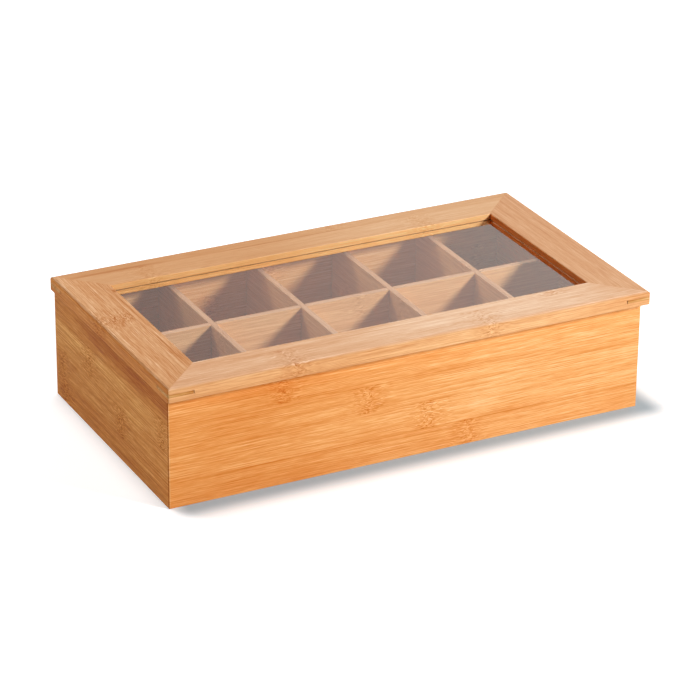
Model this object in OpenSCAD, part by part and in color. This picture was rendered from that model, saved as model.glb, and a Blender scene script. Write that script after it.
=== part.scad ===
// Tea bag organizer box: a mitred bamboo box with ten compartments in two rows, under a
// hinged lid that is a mitred frame with a see-through pane. Millimetres. +X is to the
// right, +Y to the hinged back, +Z up. The origin is the middle of the whole object's
// footprint, on the surface that it stands on.

/* [Box] */
// Height of the four walls
box_h = 79.6; // [60:0.2:120]
// Thickness of the walls
wall_t = 10.5; // [9.5:0.25:14]
// Thickness of the floor panel
floor_t = 4; // [3:0.25:6]
// Height of the floor panel's underside above the table
floor_lift = 3; // [2:0.25:8]
// How deep the floor panel sits in the walls
floor_grip = 3; // [1.5:0.25:5]
// Rounding of the upright outer corners
box_corner_r = 1; // [0.4:0.1:3]
// Rounding of the long edges at the rim and the foot
box_edge_r = 0.5; // [0.2:0.1:1.2]

/* [Lid frame] */
// Length of the lid, left to right
lid_l = 360; // [300:1:440]
// Width of the lid, front to back
lid_w = 200; // [160:1:260]
// Thickness of the frame
lid_t = 9.8; // [8.5:0.1:12]
// Width of each frame member
frame_w = 32; // [28:0.5:45]
// Rounding of the frame's outer top edges
lid_outer_r = 2.5; // [0.5:0.1:4]
// Rounding of the frame's inner top edges, round the window
lid_inner_r = 1; // [0.5:0.1:3]
// Rounding of the frame's lower edges
lid_lower_r = 0.5; // [0.2:0.1:1]
// Rounding of the lid's upright corners
lid_corner_r = 1.2; // [0.4:0.1:3]
// How far the lid stands out past each side wall
side_overhang = 2.7; // [0:0.1:8]
// How far the lid stands out past the front wall, as a finger lip
front_overhang = 7; // [3:0.5:14]
// Gap between the rim and the closed lid
lid_gap = 0.2; // [0.1:0.05:0.6]

/* [Window] */
// Thickness of the pane
pane_t = 2; // [1.5:0.1:3]
// Thickness of the frame's lip below the pane
pane_lip = 3.4; // [2.5:0.1:4]
// How deep the pane sits in the frame
pane_grip = 5; // [3:0.25:8]

/* [Dividers] */
// Thickness of the divider boards
divider_t = 4.5; // [3:0.25:8]
// How far the dividers' tops lie below the rim
divider_drop = 2.5; // [1:0.1:20]
// How deep the dividers' ends sit in the walls
divider_grip = 2.5; // [1:0.25:4]
// Rounding of the dividers' top edges
divider_edge_r = 0.6; // [0.2:0.1:1.2]

/* [Corner splines] */
// Thickness of the splines across the lid's mitres
spline_t = 2.1; // [1.5:0.1:3]
// Length of a spline along each edge of its corner
spline_leg = 18; // [12:0.5:24]
// Height of the splines above the lid's underside
spline_lift = 3.9; // [2:0.1:4.5]
// Spare length of the sawn slot past the spline
spline_spare = 0.8; // [0.2:0.1:2]

/* [Hinges] */
// Distance from the lid's end to the middle of a hinge
hinge_inset = 55; // [40:1:70]
// Length of a hinge
hinge_l = 30; // [24:1:40]
// Width of a leaf, let into the wood
leaf_w = 8.5; // [6:0.25:9]
// Thickness of a leaf
leaf_t = 0.9; // [0.8:0.05:1.2]
// Diameter of the knuckles
knuckle_d = 4; // [3.4:0.1:5]
// Diameter of the pin
pin_d = 1.8; // [1.2:0.1:2.2]
// Angle at which the leaves' lips meet and stop the lid
stop_angle = 100; // [90:1:120]
// How far the stop lips reach past the knuckles
lip_reach = 3.5; // [2.5:0.25:6]

/* [Hinge screws] */
// Thread diameter of the countersunk screws
screw_d = 2; // [1.6:0.1:2.4]
// Head diameter of the screws
screw_head_d = 3.6; // [3.2:0.1:3.8]
// Length of the screws with their heads
screw_l = 7; // [5:0.25:7.5]
// Distance between the two screws of a leaf
screw_pitch = 18; // [12:0.5:20]

/* [Fits] */
// Clearance on each side of a board in its groove
groove_fit = 0.15; // [0.05:0.05:0.3]
// Clearance between the pane's edge and its groove
pane_fit = 0.4; // [0.1:0.1:1]
// Clearance all round the pin in the lid's knuckle
pin_fit = 0.05; // [0.02:0.01:0.1]
// How tight the pin sits in the box's knuckles
pin_press = 0.01; // [0.005:0.005:0.03]
// Clearance between hinge parts that move past each other
hinge_fit = 0.3; // [0.15:0.05:0.5]
// How deep a screw's thread bites into the wood
screw_bite = 0.2; // [0.1:0.05:0.4]

/* [Hidden] */

$fn = 48;
eps = 0.5;                  // overrun of a cut past the face that it opens
cross_dividers = 4;         // boards across the box, for five compartments in a row

// Sides of a frame or box, and its corners, each counted anticlockwise from above
FRONT = 0;
RIGHT = 1;
BACK = 2;
LEFT = 3;
FRONT_LEFT = 0;
FRONT_RIGHT = 1;
BACK_RIGHT = 2;
BACK_LEFT = 3;

// Hinge section, about the pin's axis
knuckle_r = knuckle_d / 2;
axis_out = knuckle_r + hinge_fit;               // from the back faces to the axis
lip_r = knuckle_r + lip_reach;                  // from the axis to a stop lip's end
lip_turn = stop_angle / 2;                      // each lip's angle from the level
lip_half_gap = lid_gap / 4;                     // so that the lips just meet at the stop
hinge_out = axis_out + max(knuckle_r, lip_r * cos(lip_turn) - lip_half_gap * sin(lip_turn));
knuckle_l = (hinge_l - 2 * hinge_fit) / 3;

// Places, front to back; the hinges count in the overall depth
front_y = -(lid_w + hinge_out) / 2;
back_y = front_y + lid_w;
lid_cy = (front_y + back_y) / 2;
axis_y = back_y + axis_out;

// Box
box_l = lid_l - 2 * side_overhang;
box_w = lid_w - front_overhang;
box_cy = back_y - box_w / 2;
in_l = box_l - 2 * wall_t;
in_w = box_w - 2 * wall_t;
floor_top = floor_lift + floor_t;

// Dividers
divider_h = box_h - divider_drop - floor_top;
lap_z = floor_top + divider_h / 2;              // height at which the boards halve over
cell_l = (in_l - cross_dividers * divider_t) / (cross_dividers + 1);
slot_t = divider_t + 2 * groove_fit;

// Heights of the lid
lid_z = box_h + lid_gap;
axis_z = box_h + lid_gap / 2;
hinge_x = lid_l / 2 - hinge_inset;

BAMBOO = [0.87, 0.64, 0.40];
BAMBOO_PALE = [0.90, 0.70, 0.48];
BAMBOO_DARK = [0.72, 0.47, 0.25];
BRASS = [0.80, 0.66, 0.36];
CLEAR = [0.78, 0.80, 0.80, 0.35];

function cross_x(i) = -in_l / 2 + i * cell_l + (i - 0.5) * divider_t;

// ---- shared shapes ---------------------------------------------------------------

// What a quarter round of radius r takes off a corner at [0, 0] of a +x +y quadrant
module corner_waste(r) {
    difference() {
        translate([-eps, -eps]) square(r + eps);
        translate([r, r]) circle(r);
    }
}

// Rectangle w by h with rounded corners; r runs from the one at [0, 0] anticlockwise
module eased_rect(w, h, r) {
    corners = [[0, 0], [w, 0], [w, h], [0, h]];
    difference() {
        square([w, h]);
        for (k = [0:3]) if (r[k] > 0) translate(corners[k]) rotate(90 * k) corner_waste(r[k]);
    }
}

// Carries a section, drawn in y and z, along x
module along_x(length) {
    rotate([90, 0, 90]) linear_extrude(length, center = true) children();
}

// Moves children from [0, 0] to a corner of an l by w frame, turned to lie inside it
module at_corner(corner, l, w) {
    signs = [[-1, -1], [1, -1], [1, 1], [-1, 1]];
    translate([signs[corner].x * l / 2, signs[corner].y * w / 2]) rotate(90 * corner) children();
}

// One mitred side of an l by w frame, its section drawn inwards from the outer edge;
// m is the member's width, h its height and r the rounding of the upright corners
module mitred_side(side, l, w, m, h, r) {
    along = side % 2 == 0 ? l : w;
    out = (side % 2 == 0 ? w : l) / 2;
    difference() {
        intersection() {
            rotate(90 * side) translate([0, -out]) along_x(along + 2 * eps) children();
            rotate(90 * side) translate([0, -out, -eps]) linear_extrude(h + 2 * eps) polygon([
                [-along / 2 - eps, -eps], [along / 2 + eps, -eps],
                [along / 2 - m - eps, m + eps], [m + eps - along / 2, m + eps]
            ]);
        }
        for (corner = [side, (side + 1) % 4])
            at_corner(corner, l, w) translate([0, 0, -eps]) linear_extrude(h + 2 * eps) corner_waste(r);
    }
}

// ---- box -------------------------------------------------------------------------

// Section of a wall, with the groove for the floor panel
module wall_section() {
    difference() {
        eased_rect(wall_t, box_h, [box_edge_r, box_edge_r, box_edge_r, box_edge_r]);
        translate([wall_t - floor_grip, floor_lift])
            square([floor_grip + eps, floor_t + groove_fit]);
    }
}

module wall(side) {
    translate([0, box_cy, 0])
        mitred_side(side, box_l, box_w, wall_t, box_h, box_corner_r) wall_section();
}

// Room for the ends of the cross dividers, open at the rim so that they drop in
module cross_divider_grooves() {
    reach = in_w + 2 * divider_grip;
    for (i = [1:cross_dividers])
        translate([cross_x(i) - slot_t / 2, box_cy - reach / 2, floor_top])
            cube([slot_t, reach, box_h]);
}

module long_divider_groove() {
    reach = in_l + 2 * divider_grip;
    translate([-reach / 2, box_cy - slot_t / 2, floor_top]) cube([reach, slot_t, box_h]);
}

module front_panel() {
    color(BAMBOO) difference() {
        wall(FRONT);
        cross_divider_grooves();
    }
}

module back_panel() {
    color(BAMBOO) difference() {
        wall(BACK);
        cross_divider_grooves();
        for (side = [-1, 1]) {
            leaf_mortise(side);
            screw_pilots(side, box_h - screw_l);
        }
    }
}

module left_panel() {
    color(BAMBOO_DARK) difference() {
        wall(LEFT);
        long_divider_groove();
    }
}

module right_panel() {
    color(BAMBOO_DARK) difference() {
        wall(RIGHT);
        long_divider_groove();
    }
}

module floor_panel() {
    l = in_l + 2 * (floor_grip - groove_fit);
    w = in_w + 2 * (floor_grip - groove_fit);
    color(BAMBOO_PALE) translate([-l / 2, box_cy - w / 2, floor_lift]) cube([l, w, floor_t]);
}

// ---- dividers --------------------------------------------------------------------

module divider_section() {
    translate([-divider_t / 2, floor_top])
        eased_rect(divider_t, divider_h, [0, 0, divider_edge_r, divider_edge_r]);
}

// The board along the box; its halving slots are open at the top
module long_divider() {
    l = in_l + 2 * (divider_grip - groove_fit);
    color(BAMBOO_PALE) difference() {
        translate([0, box_cy, 0]) along_x(l) divider_section();
        for (i = [1:cross_dividers])
            translate([cross_x(i) - slot_t / 2, box_cy - divider_t, lap_z - groove_fit / 2])
                cube([slot_t, 2 * divider_t, divider_h]);
    }
}

// A board across the box; its halving slot is open at the bottom
module cross_divider(i) {
    w = in_w + 2 * (divider_grip - groove_fit);
    color(BAMBOO_PALE) difference() {
        translate([cross_x(i), box_cy, 0]) rotate(90) along_x(w) divider_section();
        translate([cross_x(i) - divider_t, box_cy - slot_t / 2, lap_z + groove_fit / 2 - divider_h])
            cube([2 * divider_t, slot_t, divider_h]);
    }
}

// ---- lid -------------------------------------------------------------------------

// Section of a frame member, with rounded upper edges and the groove for the pane
module frame_section() {
    difference() {
        eased_rect(frame_w, lid_t, [lid_lower_r, lid_lower_r, lid_inner_r, lid_outer_r]);
        translate([frame_w - pane_grip - pane_fit, pane_lip])
            square([pane_grip + pane_fit + eps, pane_t + groove_fit]);
    }
}

// Triangle across a corner at [0, 0] of a +x +y quadrant
module spline_outline(leg) {
    polygon([[0, 0], [leg, 0], [0, leg]]);
}

module frame_member(side) {
    leg = spline_leg + spline_spare;
    translate([0, lid_cy, lid_z]) difference() {
        mitred_side(side, lid_l, lid_w, frame_w, lid_t, lid_corner_r) frame_section();
        for (corner = [side, (side + 1) % 4])
            at_corner(corner, lid_l, lid_w) translate([-eps, -eps, spline_lift])
                linear_extrude(spline_t + groove_fit) spline_outline(leg + 2 * eps);
    }
}

module lid_front_rail() {
    color(BAMBOO) frame_member(FRONT);
}

module lid_back_rail() {
    color(BAMBOO) difference() {
        frame_member(BACK);
        for (side = [-1, 1]) {
            leaf_mortise(side);
            screw_pilots(side, lid_z);
        }
    }
}

module lid_left_stile() {
    color(BAMBOO) frame_member(LEFT);
}

module lid_right_stile() {
    color(BAMBOO) frame_member(RIGHT);
}

// A thin key glued into the sawn slot, flush with the lid's edges
module spline(corner) {
    color(BAMBOO_DARK) translate([0, lid_cy, lid_z + spline_lift])
        at_corner(corner, lid_l, lid_w) linear_extrude(spline_t) difference() {
            spline_outline(spline_leg);
            corner_waste(lid_corner_r);
        }
}

module window_pane() {
    l = lid_l - 2 * (frame_w - pane_grip);
    w = lid_w - 2 * (frame_w - pane_grip);
    color(CLEAR) translate([-l / 2, lid_cy - w / 2, lid_z + pane_lip]) cube([l, w, pane_t]);
}

// ---- hinges ----------------------------------------------------------------------

// Room for both leaves of a hinge, in the rim and in the lid's underside; side is -1 for
// the left hinge and 1 for the right
module leaf_mortise(side) {
    l = hinge_l + 2 * groove_fit;
    w = leaf_w + groove_fit;
    translate([side * hinge_x - l / 2, back_y - w, box_h - leaf_t])
        cube([l, w + eps, lid_gap + 2 * leaf_t]);
}

// Plate of a leaf and its stop lip, drawn in y and z about the pin's axis as the lid's
// leaf lies; the box's leaf is the same upside down. own is true at the leaf's own knuckles
module leaf_section(own) {
    plate_end = own ? pin_d / 2 : axis_out;
    lip_start = own ? pin_d / 2 : axis_out;
    translate([-axis_out - leaf_w, lid_gap / 2]) square([leaf_w + axis_out - plate_end, leaf_t]);
    rotate(lip_turn) translate([lip_start, lip_half_gap]) square([lip_r - lip_start, leaf_t]);
    if (own) circle(knuckle_r);
}

// Leaf with its knuckles at the middles xs, as wide as l each, and its bore of radius bore
module leaf(xs, l, bore) {
    difference() {
        union() {
            along_x(hinge_l) leaf_section(false);
            for (x = xs) translate([x, 0, 0]) along_x(l) leaf_section(true);
        }
        rotate([0, 90, 0]) cylinder(hinge_l + 2 * eps, r = bore, center = true);
        for (s = [-1, 1]) translate([s * screw_pitch / 2, -axis_out - leaf_w / 2, lid_gap / 2])
            screw(screw_d / 2);
    }
}

// A countersunk screw with its head level with the plane z = 0, pointing up; r is the
// radius of its shank
module screw(r) {
    head = (screw_head_d - screw_d) / 2;
    translate([0, 0, head]) cylinder(screw_l - head, r = r);
    cylinder(head, d1 = screw_head_d, d2 = screw_d);
}

module screw_pilots(side, z) {
    for (s = [-1, 1])
        translate([side * hinge_x + s * screw_pitch / 2, back_y - leaf_w / 2, z])
            cylinder(screw_l, r = screw_d / 2 - screw_bite);
}

module at_hinge(side) {
    translate([side * hinge_x, axis_y, axis_z]) children();
}

module box_leaf(side) {
    end_x = (hinge_l - knuckle_l) / 2;
    color(BRASS) at_hinge(side) mirror([0, 0, 1])
        leaf([-end_x, end_x], knuckle_l, pin_d / 2 - pin_press);
}

module lid_leaf(side) {
    color(BRASS) at_hinge(side) leaf([0], knuckle_l, pin_d / 2 + pin_fit);
}

// Pin with a small head at each end, pressed into the box's knuckles
module hinge_pin(side) {
    head_t = 0.5;
    head_r = (knuckle_r + pin_d / 2) / 2;
    color(BRASS) at_hinge(side) rotate([0, 90, 0]) {
        cylinder(hinge_l, d = pin_d, center = true);
        for (s = [-1, 1]) translate([0, 0, s * (hinge_l + head_t) / 2])
            cylinder(head_t, r = head_r, center = true);
    }
}

// Screws with a slot across the head, pointing up from z or, turned over, down from it
module leaf_screws(z, down) {
    slot_w = 0.5;
    slot_h = 0.35;
    color(BRASS) for (side = [-1, 1], s = [-1, 1])
        translate([side * hinge_x + s * screw_pitch / 2, back_y - leaf_w / 2, z])
            rotate([down ? 180 : 0, 0, 0]) difference() {
                screw(screw_d / 2);
                translate([-screw_head_d, -slot_w / 2, -slot_h])
                    cube([2 * screw_head_d, slot_w, 2 * slot_h]);
            }
}

front_panel();
back_panel();
left_panel();
right_panel();
floor_panel();
long_divider();
cross_divider(1);  // cross_divider_1
cross_divider(2);  // cross_divider_2
cross_divider(3);  // cross_divider_3
cross_divider(4);  // cross_divider_4
lid_front_rail();
lid_back_rail();
lid_left_stile();
lid_right_stile();
spline(FRONT_LEFT);  // spline_front_left
spline(FRONT_RIGHT);  // spline_front_right
spline(BACK_RIGHT);  // spline_back_right
spline(BACK_LEFT);  // spline_back_left
window_pane();
box_leaf(-1);  // hinge_left_box_leaf
lid_leaf(-1);  // hinge_left_lid_leaf
hinge_pin(-1);  // hinge_left_pin
box_leaf(1);  // hinge_right_box_leaf
lid_leaf(1);  // hinge_right_lid_leaf
hinge_pin(1);  // hinge_right_pin
leaf_screws(box_h, true);  // box_leaf_screws
leaf_screws(lid_z, false);  // lid_leaf_screws
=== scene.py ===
"""Finish of the ten-compartment bamboo box with a hinged, framed glass lid.

Lengths are in metres in the part's frame. The boards' pattern works in millimetres.
"""

import bpy
import numpy as np
from mathutils import Matrix, Vector


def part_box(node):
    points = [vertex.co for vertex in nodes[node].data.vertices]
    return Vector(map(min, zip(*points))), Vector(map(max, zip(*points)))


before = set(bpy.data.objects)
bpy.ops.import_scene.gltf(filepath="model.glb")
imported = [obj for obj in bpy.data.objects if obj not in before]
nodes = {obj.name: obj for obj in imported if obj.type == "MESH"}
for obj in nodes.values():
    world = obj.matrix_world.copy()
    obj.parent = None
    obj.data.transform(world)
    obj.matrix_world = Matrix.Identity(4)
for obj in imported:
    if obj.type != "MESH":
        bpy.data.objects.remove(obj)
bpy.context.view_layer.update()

MM = 0.001
TO_MM = (1 / MM,) * 3


# ---------------------------------------------------------------- sizes read from the frame
def outline(names):
    """The lowest and the highest corner of some CAD nodes together."""
    lows, highs = zip(*(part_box(name) for name in names))
    return Vector(map(min, *lows)), Vector(map(max, *highs))


def mitred_frame(low, high):
    """Half length, half width and middle in y of four boards mitred together, in mm."""
    return (high.x - low.x) / 2 / MM, (high.y - low.y) / 2 / MM, (low.y + high.y) / 2 / MM


walls_low, walls_high = outline(("front_panel", "back_panel"))
WALLS = mitred_frame(walls_low, walls_high)
LID = mitred_frame(*outline(("lid_front_rail", "lid_back_rail")))


# ---------------------------------------------------------------- shader trees
class Tree:
    """A shader tree under construction: each method adds a node and returns its output."""

    def __init__(self, tree):
        self.tree = tree

    def add(self, kind, inputs=None, out=0, **settings):
        """A node with its settings made and its inputs joined or given their values."""
        made = self.tree.nodes.new(kind)
        for key, value in settings.items():
            setattr(made, key, value)
        for key, value in (inputs or {}).items():
            socket = made.inputs[key]
            if isinstance(value, bpy.types.NodeSocket):
                self.tree.links.new(value, socket)
            else:
                socket.default_value = value
        return made if out is None else made.outputs[out]

    def math(self, operation, *values, clamp=False):
        """One sum on numbers."""
        return self.add("ShaderNodeMath", dict(enumerate(values)), operation=operation, use_clamp=clamp)

    def vector(self, operation, *values, out=0):
        """One sum on vectors."""
        return self.add("ShaderNodeVectorMath", dict(enumerate(values)), out=out, operation=operation)

    def cosine(self, direction, towards):
        """The cosine of the angle between a unit vector and what lies towards."""
        return self.vector("DOT_PRODUCT", direction, Vector(towards).normalized(), out="Value")

    def length(self, vector):
        return self.vector("LENGTH", vector, out="Value")

    def plus(self, *values):
        """The sum of several numbers."""
        total = values[0]
        for value in values[1:]:
            total = self.math("ADD", total, value)
        return total

    def minus(self, a, b):
        return self.math("SUBTRACT", a, b)

    def times(self, a, b):
        return self.math("MULTIPLY", a, b)

    def noise(self, place, grain, detail=2.0, rough=0.55, distortion=0.0, shift=(0, 0, 0)):
        """Noise of mean 0, whose blots are as long as grain along each axis of place."""
        scaled = self.vector("MULTIPLY", place, tuple(1 / g for g in grain))
        moved = self.vector("ADD", scaled, shift)
        value = self.add("ShaderNodeTexNoise", {
            "Vector": moved, "Scale": 1.0, "Detail": detail, "Roughness": rough,
            "Distortion": distortion})
        return self.minus(value, 0.5)

    def step(self, value, low, high):
        """0 under low, 1 over high, smooth between."""
        return self.add("ShaderNodeMapRange", {
            "Value": value, "From Min": low, "From Max": high, "To Min": 0.0, "To Max": 1.0},
            interpolation_type="SMOOTHSTEP")

    def hump(self, distance, width, power=2):
        """exp(-(distance/width)^power), 1 on the line and 0 away from it."""
        share = self.math("ABSOLUTE", self.math("DIVIDE", distance, width))
        return self.math("EXPONENT", self.times(self.math("POWER", share, float(power)), -1.0))

    def bands(self, value, stops):
        """Four numbers that change at places from 0 to 1, as a colour and its alpha."""
        made = self.add("ShaderNodeValToRGB", {0: value}, out=None)
        ramp = made.color_ramp
        ramp.interpolation = "CONSTANT"
        for i, (place, four) in enumerate(stops):
            stop = ramp.elements[i] if i < 2 else ramp.elements.new(place)
            stop.position = place
            stop.color = four
        return made.outputs

    def mix(self, share, a, b, blend="MIX"):
        """Colours a and b mixed."""
        return self.add("ShaderNodeMix", {0: share, 6: a, 7: b}, out=2, data_type="RGBA", blend_type=blend)


def new_material(name):
    """An empty material, its tree and its output node."""
    made = bpy.data.materials.new(name)
    made.use_nodes = True
    made.node_tree.nodes.clear()
    tree = Tree(made.node_tree)
    return made, tree, tree.add("ShaderNodeOutputMaterial", out=None)


def finish_material(made, tree, output, shader):
    tree.tree.links.new(shader, output.inputs["Surface"])
    return made


def dress(names, material):
    """Gives CAD nodes a material in place of their own."""
    for name in names:
        for slot in nodes[name].material_slots:
            slot.link = "DATA"
        for i in range(len(nodes[name].data.materials)):
            nodes[name].data.materials[i] = material


# ---------------------------------------------------------------- bamboo: the pattern
RING, HALO = 5.0, 12.0  # half lengths of a knuckle's ring and of the threads that it stirs, in mm
WANDERS = {  # blots in mm, and the range in mm in which a knuckle's place or the threads wander
    "knuckle": ((30, 2.6, 2.6), 8.0),
    "sway": ((90, 22, 22), 1.8),
    "bulge": ((9, 5, 5), 5.0)}
LAYERS = {  # blots in mm along, across and through, and where each noise starts
    "field": ((190, 9, 9), (0, 0, 0)),
    "broad": ((120, 3.4, 3.4), (5, 3, 8)),
    "threads": ((80, 1.2, 1.2), (3, 7, 1)),
    "fine": ((50, 0.45, 0.45), (9, 2, 5)),
    "short": ((9, 0.5, 0.5), (4, 8, 2))}
DASHES, LIGHTEST_DASH = (3.2, 0.85, 0.85), -0.07
DEPTHS = {  # how much each adds to the depth
    "field": 0.30, "broad": 0.09, "threads": 0.20, "fine": 1.15, "short": 0.58, "stirred": 0.6,
    "halo": 0.09, "ring": 2.6, "glue": 0.35}
QUIET = 0.75  # how much of the long threads a knuckle's ring hides


def bamboo_group():
    """The pattern of glued bamboo strips, shared by all boards: how deep the colour is at each place.

    Place is (along, across, through) in mm, and Depth is what the strip starts from, 1 in a middling one.
    Threads are noise drawn out along the strip, in five sizes. At each knuckle of a strip they bulge,
    darken, and give way to a ring of short light and dark dashes.
    """
    group = bpy.data.node_groups.new("bamboo strips", "ShaderNodeTree")
    for name, kind in (("Place", "NodeSocketVector"), ("Depth", "NodeSocketFloat"),
                       ("Knuckle A", "NodeSocketFloat"), ("Knuckle B", "NodeSocketFloat"),
                       ("Glue", "NodeSocketFloat"), ("Contrast", "NodeSocketFloat")):
        group.interface.new_socket(name, in_out="INPUT", socket_type=kind)
    for name in ("Depth", "Roughness", "Height"):
        group.interface.new_socket(name, in_out="OUTPUT", socket_type="NodeSocketFloat")
    t = Tree(group)
    given = t.add("NodeGroupInput", out=None).outputs
    place, glue = given["Place"], given["Glue"]
    along = t.add("ShaderNodeSeparateXYZ", {0: place}, out="X")

    ragged, sway, bulge = (
        t.times(t.noise(place, blot, detail=1.0), reach) for blot, reach in WANDERS.values())
    cores, halos = [], []
    for key in ("Knuckle A", "Knuckle B"):
        off = t.plus(t.minus(along, given[key]), ragged)
        cores.append(t.hump(off, RING, 3))
        halos.append(t.hump(off, HALO))
    core = t.math("MAXIMUM", *cores)
    halo = t.math("MAXIMUM", *halos)

    aside = t.plus(sway, t.times(bulge, halo))
    bent = t.vector("ADD", place, t.add("ShaderNodeCombineXYZ", {"Y": aside, "Z": aside}))
    field, broad, threads, fine, short = (
        t.noise(bent, blot, detail=1.0, shift=start) for blot, start in LAYERS.values())
    dashes = t.noise(bent, DASHES, detail=1.5, distortion=0.7, shift=(1, 6, 3))

    quiet = t.minus(1.0, t.times(core, QUIET))
    grain = t.plus(t.times(threads, DEPTHS["threads"]), t.times(fine, DEPTHS["fine"]))
    stirred = t.times(short, t.plus(t.times(halo, DEPTHS["stirred"]), DEPTHS["short"]))
    ring = t.times(t.times(t.math("MAXIMUM", dashes, LIGHTEST_DASH), core), DEPTHS["ring"])
    mottle = t.plus(t.times(field, DEPTHS["field"]), t.times(broad, DEPTHS["broad"]),
                    t.times(grain, quiet), stirred, t.times(halo, DEPTHS["halo"]), ring,
                    t.times(glue, DEPTHS["glue"]))
    t.add("NodeGroupOutput", {
        "Depth": t.plus(given["Depth"], t.times(mottle, given["Contrast"])),
        "Roughness": t.plus(0.50, t.times(fine, -0.25), t.times(core, 0.05), t.times(glue, 0.1)),
        "Height": t.plus(t.times(fine, -0.35), t.times(short, -0.35), t.times(ring, -0.7),
                         t.times(glue, -0.8))}, out=None)
    return group


# ---------------------------------------------------------------- bamboo: a board's material
PATTERN = bamboo_group()
NO_KNUCKLE = 120.0  # how far beyond the board a strip without a knuckle has it, in mm
GLUE_LINE, MITRE_LINE = 0.22, 0.24  # half widths of the lines between strips and between boards, in mm
GLUE_PATCH = (26, 40, 40)  # the stretches in which a glue line shows or hides, in mm
GLUE_SHOWS, GLUE_VARIES = 0.62, 1.6
PLY_SHIFT = 37.0  # how far across the pattern the next ply's threads are taken from, in mm
MARK_ENDS = 4  # the power of a long mark's fall-off lengthwise, so that it ends rather abruptly
FACE_FULL = 0.7  # a face's change is full at this share of the way from its least cosine to 1
LOOKS_UP = 0.4, 0.9  # between these cosines a face goes from the edges' tint to the top's
DULLING = 0.78  # how much deeper wood is also darker
REDDENED = (1.0, 0.86, 0.72, 1.0)  # what the colour of a strip of redness 1 is multiplied by


def strip_table(t, across, lay, strips, seed):
    """A strip's depth, its two knuckles and its redness, by the place across the board.

    They are held as the four channels of a band of colours. A knuckle is held as its share of the way
    from NO_KNUCKLE before the board to the board's end.
    """
    (start, end), (low, high) = lay[1:]
    start -= NO_KNUCKLE

    def share(knuckle):
        return 0.0 if knuckle is None else (knuckle - start) / (end - start)

    stops = [((max(first, low) - low) / (high - low), (depth, share(one), share(two), redness))
             for first, depth, one, two, redness in strips]
    place = t.add("ShaderNodeMapRange", {"Value": across, "From Min": low, "From Max": high})
    table = t.bands(place, stops)
    parts = t.add("ShaderNodeSeparateColor", {0: table["Color"]}, out=None).outputs
    knuckles = [t.plus(t.times(parts[k], float(end - start)), start + seed) for k in (1, 2)]
    return parts[0], knuckles, table["Alpha"]


def long_marks(t, along, across, marks):
    """The sum of long marks, each (middle along, middle across, half length, half width, depth)."""
    total = 0.0
    for middle, line, half_length, half_width, depth in marks:
        lengthwise = t.hump(t.minus(along, float(middle)), half_length, MARK_ENDS)
        crosswise = t.hump(t.minus(across, float(line)), half_width)
        total = t.plus(t.times(t.times(lengthwise, crosswise), depth), total)
    return total


def mitre_gap(t, xyz, mitre):
    """The distance from the two diagonal cuts at each end of a mitred frame."""
    half_length, half_width, middle = mitre
    aside = t.math("ABSOLUTE", t.minus(xyz[1], middle))
    return t.plus(aside, half_length - half_width, t.times(t.math("ABSOLUTE", xyz[0]), -1.0))


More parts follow.
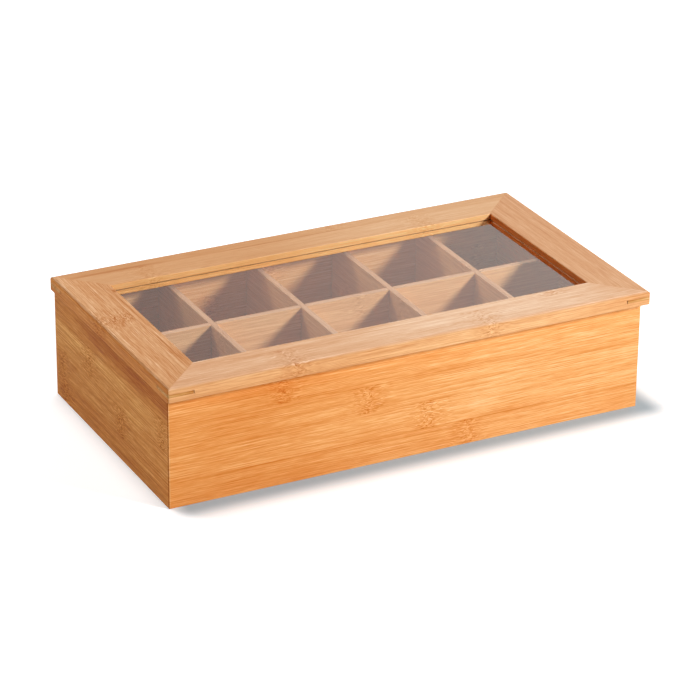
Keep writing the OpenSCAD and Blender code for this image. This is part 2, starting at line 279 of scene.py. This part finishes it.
def bamboo(name, lay, tint, strips, seed, top=None, grade=None, plies=(), mitre=None, marks=(), faces=(),
           contrast=1.0, gloss=0.05):
    """A board's own material.

    lay is how the board lies. strips lists (start across, depth, knuckle, second knuckle, redness), with
    depths from 0 to 1 about 0.5, and knuckles as places along in mm or None. seed is where along the
    pattern the board is taken from. The colour is tint in a middling strip, times grade for each whole
    step of depth more, as light through more of one pigment. top is the tint of what looks up, where
    that differs from the edges'; on the lid it is paler, as a painted sheen. plies are glue planes
    through the board. mitre is the frame that the board is mitred into. marks are long marks; some are
    painted shade and some painted sheen. faces lists (direction, depth, least cosine) for the faces and
    arrises towards a direction that are made deeper or paler: painted shade on faces turned away from
    the lamps, and painted sheen, highlights and mirrored light on faces turned towards them. contrast
    scales the grain, and gloss the shine.
    """
    made, t, output = new_material(name)
    where = t.add("ShaderNodeTexCoord", out=None).outputs
    in_mm = t.vector("MULTIPLY", where["Object"], TO_MM)
    xyz = t.add("ShaderNodeSeparateXYZ", {0: in_mm}, out=None).outputs
    along, across, through = (xyz[axis] for axis in lay[0])
    strip_depth, knuckles, redness = strip_table(t, across, lay, strips, seed)

    gaps = [(t.minus(across, float(strip[0])), GLUE_LINE) for strip in strips[1:]]
    gaps += [(t.minus(through, float(plane)), GLUE_LINE) for plane in plies]
    if mitre:
        gaps.append((mitre_gap(t, xyz, mitre), MITRE_LINE))
    glue = 0.0
    for gap, half_width in gaps:
        glue = t.math("MAXIMUM", glue, t.hump(gap, half_width))
    board = t.add("ShaderNodeCombineXYZ", {"X": along, "Y": across, "Z": through})
    patches = t.times(t.noise(board, GLUE_PATCH), GLUE_VARIES)
    glue = t.times(glue, t.math("ADD", patches, GLUE_SHOWS, clamp=True))

    ply = 0.0
    for plane in plies:
        ply = t.plus(t.times(t.math("GREATER_THAN", through, float(plane)), PLY_SHIFT), ply)
    depth = t.plus(strip_depth, 0.5, long_marks(t, along, across, marks))
    for towards, change, least in faces:
        full = least + FACE_FULL * (1.0 - least)
        facing = t.step(t.cosine(where["Normal"], towards), least, full)
        depth = t.plus(depth, t.times(facing, change))
    place = t.add("ShaderNodeCombineXYZ", {
        "X": t.plus(along, seed), "Y": t.plus(across, ply), "Z": through})
    pattern = t.add("ShaderNodeGroup", {
        "Place": place, "Depth": depth, "Knuckle A": knuckles[0], "Knuckle B": knuckles[1],
        "Glue": glue, "Contrast": contrast}, out=None, node_tree=PATTERN).outputs

    grade = grade or tuple(DULLING * c for c in (top or tint))
    stained = t.add("ShaderNodeGamma", {
        "Color": (*grade, 1.0), "Gamma": t.minus(pattern["Depth"], 1.0)})
    base = (*tint, 1.0)
    if top:
        upright = t.add("ShaderNodeSeparateXYZ", {0: where["Normal"]}, out="Z")
        base = t.mix(t.step(upright, *LOOKS_UP), base, (*top, 1.0))
    colour = t.mix(1.0, stained, base, "MULTIPLY")
    bump = t.add("ShaderNodeBump", {"Strength": 0.35, "Distance": 0.00012, "Height": pattern["Height"]})
    threads = t.add("ShaderNodeVectorTransform", {0: tuple(float(axis == lay[0][0]) for axis in "XYZ")},
                    vector_type="VECTOR", convert_from="OBJECT", convert_to="WORLD")
    wood = t.add("ShaderNodeBsdfPrincipled", {
        "Base Color": t.mix(redness, colour, REDDENED, "MULTIPLY"),
        "Roughness": pattern["Roughness"], "Specular IOR Level": gloss,
        "Anisotropic": 0.95, "Anisotropic Rotation": 0.25, "Tangent": threads, "Normal": bump})
    return finish_material(made, t, output, wood)


# ---------------------------------------------------------------- bamboo: the boards
# How a board lies: the axes along its strips, across them and through it, and its reach along and
# across in mm.
LONG_WALL = ("XZY", (-178, 178), (0, 80))
END_WALL = ("YZX", (-97, 98), (0, 80))
FLOOR_BOARD = ("XYZ", (-178, 178), (-100, 100))
FRONT_RAIL = ("XYZ", (-180, 180), (-103, -70))
BACK_RAIL = ("XYZ", (-180, 180), (64, 98))
LEFT_STILE = ("YXZ", (-97, 98), (-180, -147))
RIGHT_STILE = ("YXZ", (-97, 98), (147, 180))
WHOLE_LID = ("XYZ", (-180, 180), (-103, 98))
LID_PLIES = (82.1,)  # the height of the glue plane between the frame's two layers, in mm

# Tints of a middling strip.
OILED = (0.745, 0.310, 0.090)  # of the front, the right end and the back rail's edges
SHADED = (0.690, 0.325, 0.110)  # of the back
GOLDEN = (0.690, 0.293, 0.073)  # of the left end
GOLDEN_GRADE = (0.487, 0.249, 0.111)  # what each step of its depth multiplies it by
INNER = (0.800, 0.430, 0.190)  # of the floor and the dividers
DIVIDER_TOP = (0.625, 0.322, 0.180)
EDGE = (0.700, 0.340, 0.136)  # of the front rail's edges
LEFT_EDGE = (0.745, 0.329, 0.095)  # of the left stile's
# RUDDY is redder than the other edges: the colour of the right stile's inner face in shade, painted into
# the wood.
RUDDY = (0.820, 0.268, 0.054)  # of the right stile's
# The three upper-side tints below are paler than their boards' edges, as a painted sheen.
SHEENED_TOP = (0.665, 0.335, 0.155)  # of the upper side of the back rail and the left stile
PALE = (0.665, 0.326, 0.160)  # of the front rail's
ROSY = (0.665, 0.333, 0.164)  # of the right stile's
SPLINE = (0.480, 0.195, 0.048)

UP, LEFT, FRONT = (0, 0, 1), (-1, 0, 0), (0, -1, 0)
# On the rounded edge at the front-left, the front half gets a painted highlight and the left half painted
# shade.
FRONT_SIDE, LEFT_SIDE = (-4, -9, 0), (-9, -4, 0)  # of the rounded edge between the front and the left end
FLAT, ARRIS = 0.5, 0.9  # least cosines: a whole face, or a rounded edge alone

# Painted light: the first two marks make the front deeper towards the left end and paler towards the
# right, and the paler front half of the rounded corner is a painted highlight.
dress(["front_panel"], bamboo(
    "bamboo of the front", LONG_WALL, OILED,
    [(0, 0.50, 43, None, 0.05), (18.3, 0.46, 13, None, 0.0), (38.6, 0.49, -33, None, 0.0),
     (58.8, 0.51, -95, None, 0.0)],
    seed=0.0, plies=(-91.0,), mitre=WALLS, contrast=0.92,
    marks=[(-180, 40, 120, 60, 0.11), (150, 40, 130, 60, -0.10), (-110, 17.8, 66, 0.8, 0.20),
           (75, 18.0, 34, 0.8, 0.14), (-160, 37.8, 22, 0.8, 0.12), (-108, 66, 24, 7, 0.10),
           (56, 28, 11, 6, -0.08), (-100, 60.5, 30, 0.7, 0.10)],
    faces=[(FRONT_SIDE, -0.3, ARRIS)]))
# Painted light: the inner face is a little paler.
dress(["back_panel"], bamboo(
    "bamboo of the back", LONG_WALL, SHADED,
    [(0, 0.55, -120, 88, 0.1), (15.0, 0.46, 22, None, 0.0), (35.2, 0.50, -64, 150, 0.0),
     (55.4, 0.44, -18, None, 0.0), (75.6, 0.50, 60, None, 0.0)],
    seed=400.0, plies=(92.0,), mitre=WALLS, contrast=0.8, faces=[(FRONT, -0.06, FLAT)]))
# Painted shade: the deep mark high along the left end, under the lid's overhang, and the deeper left half
# of the rounded corner at the front.
dress(["left_panel"], bamboo(
    "bamboo of the left end", END_WALL, GOLDEN,
    [(0, 0.60, 80, None, 0.25), (17.6, 0.54, -18, 84, 0.05), (38.8, 0.45, 36, -86, 0.0),
     (60.4, 0.63, None, None, 0.0)],
    seed=800.0, grade=GOLDEN_GRADE, plies=(-172.0,), mitre=WALLS, contrast=1.4,
    marks=[(-50, 73, 90, 5.5, 0.42)], faces=[(LEFT_SIDE, 0.6, ARRIS)]))
dress(["right_panel"], bamboo(
    "bamboo of the right end", END_WALL, OILED,
    [(0, 0.46, -52, None, 0.1), (20.5, 0.58, 30, None, 0.2), (40.6, 0.45, -8, None, 0.0),
     (61.0, 0.52, 70, None, 0.1)],
    seed=1200.0, plies=(172.0,), mitre=WALLS))

dress(["floor_panel"], bamboo(
    "bamboo of the floor", FLOOR_BOARD, INNER,
    [(-100, 0.50, -140, 60, 0.0), (-78, 0.56, 20, None, 0.1), (-57.5, 0.45, -70, 130, 0.0),
     (-37, 0.52, 100, None, 0.1), (-16.5, 0.46, -20, None, 0.0), (4, 0.55, -120, 70, 0.2),
     (24.5, 0.44, 40, None, 0.0), (45, 0.50, -60, 140, 0.1), (65.5, 0.46, 0, None, 0.0),
     (86, 0.53, 110, None, 0.1)],
    seed=1600.0, contrast=0.6))
dress(["long_divider"], bamboo(
    "bamboo of the long divider", LONG_WALL, INNER,
    [(0, 0.50, 70, None, 0.1), (21.0, 0.45, -30, None, 0.0), (41.0, 0.50, 120, -140, 0.0),
     (61.0, 0.45, 10, None, 0.0)],
    seed=2000.0, top=DIVIDER_TOP, contrast=0.6))
# Painted shade: in both calls below, the faces turned to the left are deeper.
dress(["cross_divider_1", "cross_divider_3"], bamboo(
    "bamboo of the odd dividers", END_WALL, INNER,
    [(0, 0.46, 30, None, 0.0), (16.0, 0.55, -50, None, 0.1), (36.0, 0.45, 62, None, 0.0),
     (56.0, 0.50, -20, None, 0.0)],
    seed=2400.0, top=DIVIDER_TOP, contrast=0.6, faces=[(LEFT, 0.12, FLAT)]))
dress(["cross_divider_2", "cross_divider_4"], bamboo(
    "bamboo of the even dividers", END_WALL, INNER,
    [(0, 0.54, -30, None, 0.1), (24.0, 0.45, 44, None, 0.0), (44.0, 0.50, -66, None, 0.0),
     (64.0, 0.47, 14, None, 0.0)],
    seed=2800.0, top=DIVIDER_TOP, contrast=0.6, faces=[(LEFT, 0.12, FLAT)]))

# Painted sheen: the top is paler in its tint, by its facing, and towards the right end by the mark.
dress(["lid_front_rail"], bamboo(
    "bamboo of the front rail", FRONT_RAIL, EDGE,
    [(-103, 0.50, -88, 56, 0.0), (-79.5, 0.48, 118, None, 0.0)],
    seed=3200.0, top=PALE, plies=LID_PLIES, mitre=LID, contrast=0.8, gloss=0.3,
    marks=[(67, -82, 96, 30, -0.22)], faces=[(UP, -0.17, FLAT)]))
# Painted light: the inner face is paler for the light the pane mirrors onto it, and the top is paler in
# its tint and towards the right end by the last mark, as a painted sheen.
dress(["lid_back_rail"], bamboo(
    "bamboo of the back rail", BACK_RAIL, OILED,
    [(64, 0.46, -117, 95, 0.0), (85.6, 0.52, 32, None, 0.0)],
    seed=3600.0, top=SHEENED_TOP, plies=LID_PLIES, mitre=LID, contrast=0.5, gloss=0.25,
    marks=[(-135, 87, 32, 1.3, 0.28), (5, 85.4, 72, 0.7, 0.18), (110, 82, 110, 30, -0.19)],
    faces=[(FRONT, -0.38, FLAT)]))
# Painted shade: the lid's left edge is deeper; the top's paler tint is a painted sheen.
dress(["lid_left_stile"], bamboo(
    "bamboo of the left stile", LEFT_STILE, LEFT_EDGE,
    [(-180, 0.53, 11, None, 0.0), (-155.0, 0.53, None, None, 0.0)],
    seed=4000.0, top=SHEENED_TOP, plies=LID_PLIES, mitre=LID, contrast=1.2,
    marks=[(-50, -153, 30, 0.7, 0.35), (25, -151.6, 30, 0.7, 0.3), (55, -150, 2.5, 1.0, 0.5)],
    faces=[(LEFT, 0.29, FLAT)]))
# Painted shade: the inner face, turned from the key lamp, is deeper; the top's paler tint is a painted
# sheen.
dress(["lid_right_stile"], bamboo(
    "bamboo of the right stile", RIGHT_STILE, RUDDY,
    [(147, 0.46, -150, None, 0.0), (166.0, 0.44, 130, None, 0.0)],
    seed=4400.0, top=ROSY, plies=LID_PLIES, mitre=LID, contrast=0.7, gloss=0.15,
    faces=[(LEFT, 0.40, FLAT)]))
dress(["spline_front_left", "spline_front_right", "spline_back_left", "spline_back_right"], bamboo(
    "bamboo of the corner splines", WHOLE_LID, SPLINE,
    [(-103, 0.34, None, None, 0.0), (0, 0.34, None, None, 0.0)],
    seed=4800.0, marks=[(-163.5, -100, 4.5, 40, 0.15), (164, -100, 4, 40, 0.06)]))


# ---------------------------------------------------------------- glass
GLASS_INDEX = 1.5
MIRROR_INDEX = 1.7  # higher, so that one face mirrors most of what the pane's two faces would


def window_glass():
    """Clear float glass: it bends what is seen through it, and lamplight passes straight.

    Only the face that is met first mirrors, on behalf of both.
    """
    made, t, output = new_material("clear float glass")
    ray = t.add("ShaderNodeLightPath", out=None).outputs
    passing = t.math("MAXIMUM", ray["Is Shadow Ray"], ray["Is Diffuse Ray"])
    facing = t.minus(1.0, t.add("ShaderNodeNewGeometry", out="Backfacing"))
    seen = t.times(facing, t.minus(1.0, ray["Is Shadow Ray"]))
    share = t.times(t.add("ShaderNodeFresnel", {"IOR": MIRROR_INDEX}), seen)
    bent = t.add("ShaderNodeBsdfRefraction", {"Color": (0.985, 0.99, 0.985, 1.0), "IOR": GLASS_INDEX})
    clear = t.add("ShaderNodeBsdfTransparent", {"Color": (0.96, 0.97, 0.965, 1.0)})
    through = t.add("ShaderNodeMixShader", {0: passing, 1: bent, 2: clear})
    mirror = t.add("ShaderNodeBsdfGlossy", {"Color": (1.0, 1.0, 1.0, 1.0), "Roughness": 0.04})
    pane = t.add("ShaderNodeMixShader", {0: share, 1: through, 2: mirror})
    return finish_material(made, t, output, pane)


dress(["window_pane"], window_glass())


# ---------------------------------------------------------------- metal
TARNISH = -0.12, 0.22  # between these values of the blotches the metal goes from bright to dull


def metal(name, colour, dull, rough, grain):
    """Rolled or turned metal: fine drawn scratches, and blotches of tarnish towards the dull colour.

    rough is how rough it is on the whole, and grain the scratches' size along each axis in mm.
    """
    made, t, output = new_material(name)
    where = t.vector("MULTIPLY", t.add("ShaderNodeTexCoord", out="Object"), TO_MM)
    scratches = t.noise(where, grain)
    blotches = t.noise(where, (4, 4, 4), detail=3.0, rough=0.6)
    tarnish = t.step(blotches, *TARNISH)
    gloss = t.plus(rough, t.times(scratches, 0.22), t.times(tarnish, 0.12))
    bump = t.add("ShaderNodeBump", {"Strength": 0.25, "Distance": 0.00005, "Height": scratches})
    return finish_material(made, t, output, t.add("ShaderNodeBsdfPrincipled", {
        "Base Color": t.mix(tarnish, (*colour, 1.0), (*dull, 1.0)), "Metallic": 1.0,
        "Roughness": gloss, "Normal": bump}))


LEAVES = [name for name in nodes if name.startswith("hinge_") and name.endswith("_leaf")]
PINS = [name for name in nodes if name.endswith("_pin")]
SCREWS = [name for name in nodes if name.endswith("_screws")]
dress(LEAVES, metal("rolled brass", (0.83, 0.58, 0.24), (0.62, 0.40, 0.17), 0.30, (9, 0.12, 0.12)))
dress(PINS, metal("steel pin", (0.62, 0.60, 0.57), (0.45, 0.43, 0.41), 0.28, (0.15, 3, 3)))
dress(SCREWS, metal("brass screws", (0.80, 0.55, 0.22), (0.60, 0.38, 0.16), 0.32, (0.4, 0.4, 0.4)))


# ---------------------------------------------------------------- floor
FLOOR_HALF, FLOOR_SQUARE = 8.0, 0.5
PAPER = (0.89, 0.925, 0.95, 1.0), (0.90, 0.935, 0.96, 1.0)  # its two tints
WHITE = (1.0, 1.0, 1.0, 1.0)
SHADE_TINT = (0.33, 0.385, 0.42, 1.0)
SHADE_SHIFT = Vector((0.009, -0.009, 0.0))
SHADE_INSET = Vector((0.005, 0.005, 0.0))
SHADE_REACH = 0.0135
GLOW = 0.18  # the paper's glow that lights the box too
GLOW_SEEN = 0.30  # what it glows more for whoever looks at it
GLOW_AWAY = 0.60  # and more again far from the box
FADE = 0.5, 1.8  # between these distances it fades into white


def floor_sheet(half, step):
    """A flat square grid z = 0 with sides of twice half, in squares of about step."""
    count = int(round(2 * half / step)) + 1
    u, v = np.meshgrid(np.linspace(-half, half, count), np.linspace(-half, half, count), indexing="ij")
    points = np.stack([u, v, np.zeros_like(u)], -1).reshape(-1, 3)
    k = np.arange(count * count).reshape(count, count)
    quads = np.stack([k[:-1, :-1], k[1:, :-1], k[1:, 1:], k[:-1, 1:]], -1).reshape(-1, 4)
    mesh = bpy.data.meshes.new("floor")
    mesh.from_pydata(points.tolist(), [], quads.tolist())
    sheet = bpy.data.objects.new("floor", mesh)
    bpy.context.scene.collection.objects.link(sheet)
    return sheet


def floor_paint():
    """Matt white paper on a light table, with a hardly visible mottle and a soft grey shade at the foot.

    The shade, painted on the paper, falls off as exp(-(d/reach)^2), d being the distance from the box's
    footprint made smaller and moved towards the front and the right. The glow grows away from the box,
    so that the paper fades into white. Neither the painted shade nor most of the glow counts as light on
    the box.
    """
    made, t, output = new_material("matt white paper")
    where = t.add("ShaderNodeTexCoord", out="Object")
    seen = t.minus(1.0, t.add("ShaderNodeLightPath", out="Is Diffuse Ray"))
    mottle = t.noise(where, (0.03, 0.03, 0.03), detail=3.0)
    half = (walls_high - walls_low) / 2 - SHADE_INSET
    aside = t.vector("SUBTRACT", where, (walls_high + walls_low) / 2 + SHADE_SHIFT)
    outside = t.vector("MAXIMUM", t.vector("SUBTRACT", t.vector("ABSOLUTE", aside), half), (0.0, 0.0, 0.0))
    distance = t.length(t.vector("MULTIPLY", outside, (1.0, 1.0, 0.0)))
    shade = t.mix(t.times(t.hump(distance, SHADE_REACH), seen), WHITE, SHADE_TINT)
    paper = t.mix(t.plus(mottle, 0.5), *PAPER)
    glow = t.plus(GLOW_SEEN, t.times(t.step(t.length(where), *FADE), GLOW_AWAY))
    return finish_material(made, t, output, t.add("ShaderNodeBsdfPrincipled", {
        "Base Color": t.mix(1.0, paper, shade, "MULTIPLY"), "Roughness": 0.9, "Specular IOR Level": 0.1,
        "Emission Color": shade, "Emission Strength": t.plus(GLOW, t.times(glow, seen))}))


floor = floor_sheet(FLOOR_HALF, FLOOR_SQUARE)
floor.data.materials.append(floor_paint())


# ---------------------------------------------------------------- light
BOX_MIDDLE = Vector((0, 0, 0.05))


def soft_box(name, towards, distance, size, power, colour=(1, 1, 1), mirrored=True):
    """An oblong lamp that lies towards a direction from the middle of the box and faces it.

    One that isn't mirrored leaves no glaring patch in the pane.
    """
    lamp = bpy.data.lights.new(name, "AREA")
    lamp.shape, lamp.size, lamp.size_y = "RECTANGLE", size[0], size[1]
    lamp.energy, lamp.color = power, colour
    held = bpy.data.objects.new(name, lamp)
    bpy.context.scene.collection.objects.link(held)
    away = Vector(towards).normalized()
    held.location = BOX_MIDDLE + away * distance
    held.rotation_mode = "QUATERNION"
    held.rotation_quaternion = away.to_track_quat("Z", "Y")
    held.visible_glossy = mirrored


soft_box("key lamp", towards=(0.551, -0.694, 0.463), distance=2.4, size=(0.446, 0.446), power=52.9,
         mirrored=False)
soft_box("back lamp", towards=(-0.45, 0.55, 0.70), distance=2.0, size=(0.7, 0.7), power=16.5)
soft_box("overhead lamp", towards=(-0.08, 0.14, 0.98), distance=2.0, size=(0.56, 0.56), power=8.4,
         mirrored=False)
soft_box("left fill", towards=(-0.85, -0.4, 0.35), distance=2.0, size=(1.5, 1.2), power=1.6,
         colour=(1.0, 0.90, 0.76))


def studio_walls(tint, glows):
    """The room: the sum of glows, each (strength, towards, spread), and white where it is looked at.

    A glow falls off round its direction as exp(-(1 - cosine of the angle) / spread).
    """
    world = bpy.data.worlds.new("studio")
    bpy.context.scene.world = world
    world.use_nodes = True
    t = Tree(world.node_tree)
    looking = t.vector("NORMALIZE", t.add("ShaderNodeTexCoord", out="Generated"))
    shares = []
    for strength, towards, spread in glows:
        fall = t.math("DIVIDE", t.minus(t.cosine(looking, towards), 1.0), spread)
        shares.append(t.times(t.math("EXPONENT", fall), strength))
    ray = t.add("ShaderNodeLightPath", out=None).outputs
    seen = t.math("MAXIMUM", ray["Is Camera Ray"], ray["Is Transmission Ray"])
    lit = t.add("ShaderNodeVectorMath", {0: tint, "Scale": t.plus(*shares)}, operation="SCALE")
    t.tree.links.new(t.mix(seen, lit, WHITE), t.tree.nodes["Background"].inputs["Color"])


studio_walls((0.97, 1.0, 0.94), [(1.26, (0.80, 0.56, 0.42), 0.07), (1.0, (0.62, 0.74, 0.42), 0.07)])


# ---------------------------------------------------------------- camera
CAMERA_AT = Vector((-0.912369, -1.787884, 0.974573))
CAMERA_RIGHT = Vector((0.89229441, -0.45134302, 0.01000856))
CAMERA_UP = Vector((0.18271073, 0.38131005, 0.90621158))

lens = bpy.data.cameras.new("camera")
lens.lens, lens.sensor_width = 164.59, 36.0
lens.clip_start, lens.clip_end = 0.05, 50.0
camera = bpy.data.objects.new("camera", lens)
bpy.context.scene.collection.objects.link(camera)
turned = Matrix((CAMERA_RIGHT, CAMERA_UP, CAMERA_RIGHT.cross(CAMERA_UP))).transposed().to_4x4()
camera.matrix_world = Matrix.Translation(CAMERA_AT) @ turned
bpy.context.scene.camera = camera
bpy.context.scene.view_settings.view_transform = "Standard"
